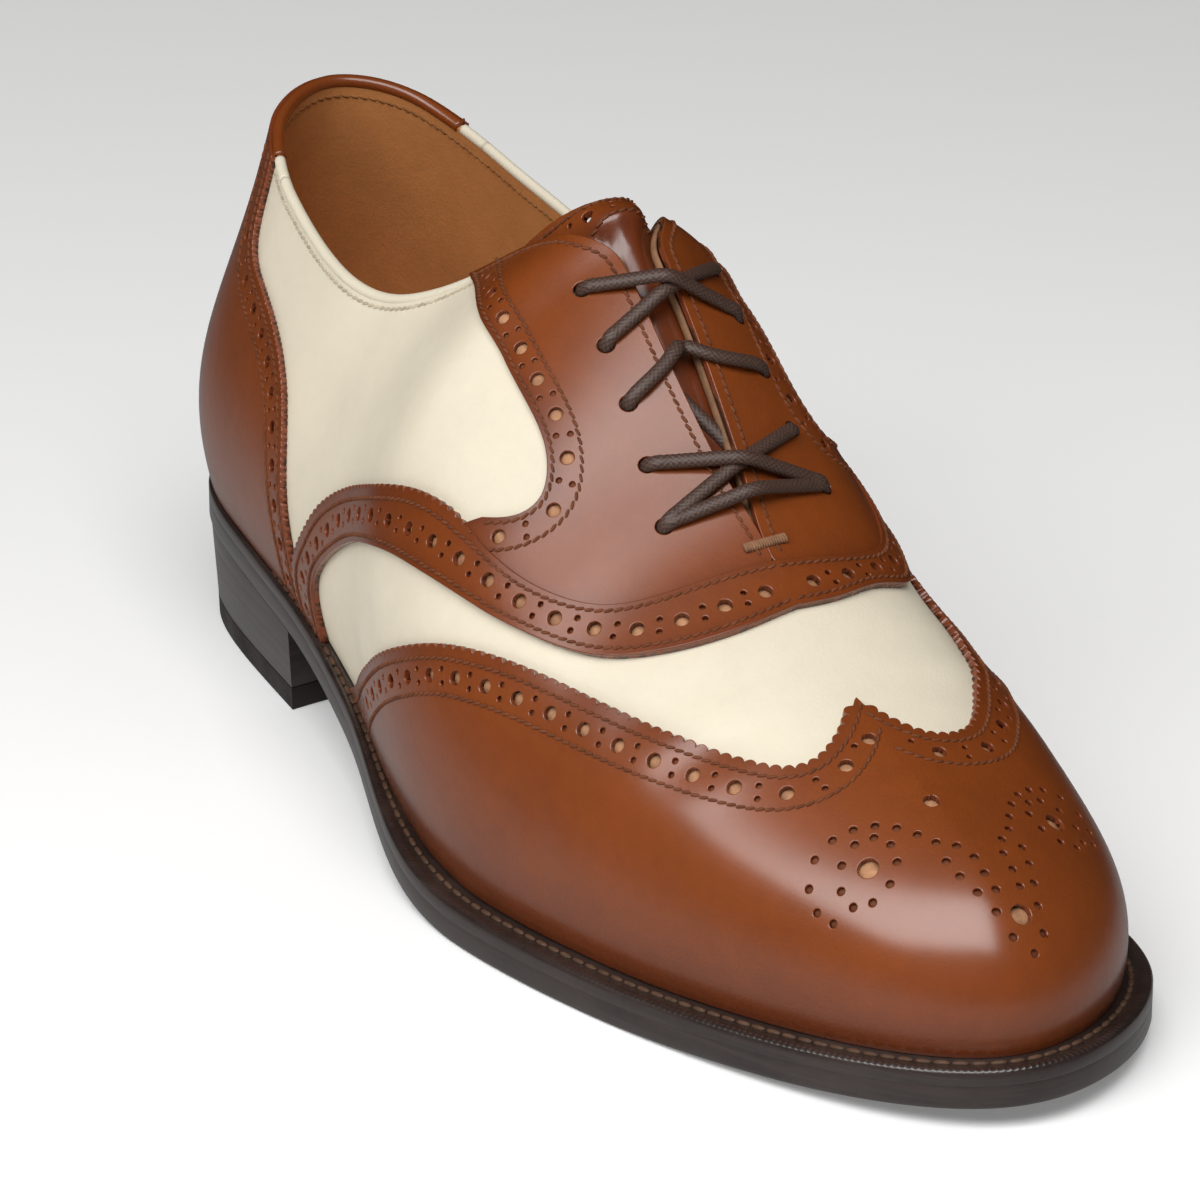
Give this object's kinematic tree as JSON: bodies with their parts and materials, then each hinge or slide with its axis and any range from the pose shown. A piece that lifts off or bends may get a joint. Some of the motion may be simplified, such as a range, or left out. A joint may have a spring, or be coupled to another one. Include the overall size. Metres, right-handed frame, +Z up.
{
  "type": "wingtip brogue",
  "caption": "Low laced two-tone dress shoe: hollow leather upper with wing cap, strap, facings, counter and tongue, on a welted leather sole with a stacked heel.",
  "frame": {"origin": "On the floor, under the middle of the shoe's bounding box", "axes": "+X towards the toe, +Y to the wearer's left, which is the inner side of this right shoe, +Z up"},
  "size_m": [0.307, 0.107, 0.1247],
  "materials": {
    "brown_calf": "polished tan calf, burnished darker at the toe and edges",
    "cream_calf": "satin cream calf with a fine grain",
    "sole_edge": "dark stained and waxed sole leather",
    "insole_leather": "plain tan lining leather",
    "top_piece": "matt black heel rubber",
    "waxed_cord": "round waxed braid"
  },
  "bodies": {
    "root": {"outsole": "sole_edge", "welt": "sole_edge", "heel_stack": "sole_edge", "top_piece": "top_piece", "insole": "insole_leather", "upper": "cream_calf", "wing_cap": "brown_calf", "strap": "brown_calf", "facing_outer": "brown_calf", "facing_inner": "brown_calf", "counter": "brown_calf", "tongue": "brown_calf", "lace_cross_top": "waxed_cord", "lace_chevron": "waxed_cord", "lace_cross_low": "waxed_cord"}
  },
  "joints": []
}
